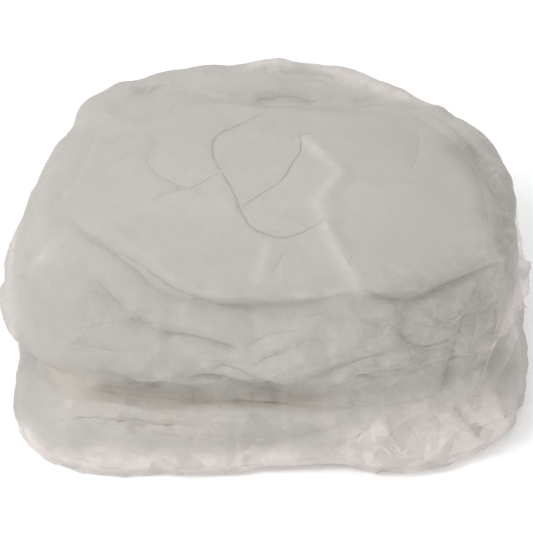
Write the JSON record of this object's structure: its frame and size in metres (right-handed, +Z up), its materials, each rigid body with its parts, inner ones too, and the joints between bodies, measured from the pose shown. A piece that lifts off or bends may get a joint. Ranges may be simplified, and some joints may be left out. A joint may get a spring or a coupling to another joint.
{
  "type": "bouffant cap",
  "caption": "Puffed cap of thin nonwoven cloth, gathered on a round elastic, lying crown up with its rounded square hollow open below.",
  "frame": {"origin": "middle of the footprint, on the surface that the cap lies on", "axes": "+Z up through the crown, +X to the cap's right, the front at -Y"},
  "size_m": [0.265, 0.238, 0.098],
  "materials": {
    "nonwoven": "thin, matt, slightly see-through spunbond with fine crumples",
    "elastic": "matt covered elastic"
  },
  "bodies": {
    "root": {"crown": "nonwoven", "elastic_band": "elastic"}
  },
  "joints": []
}
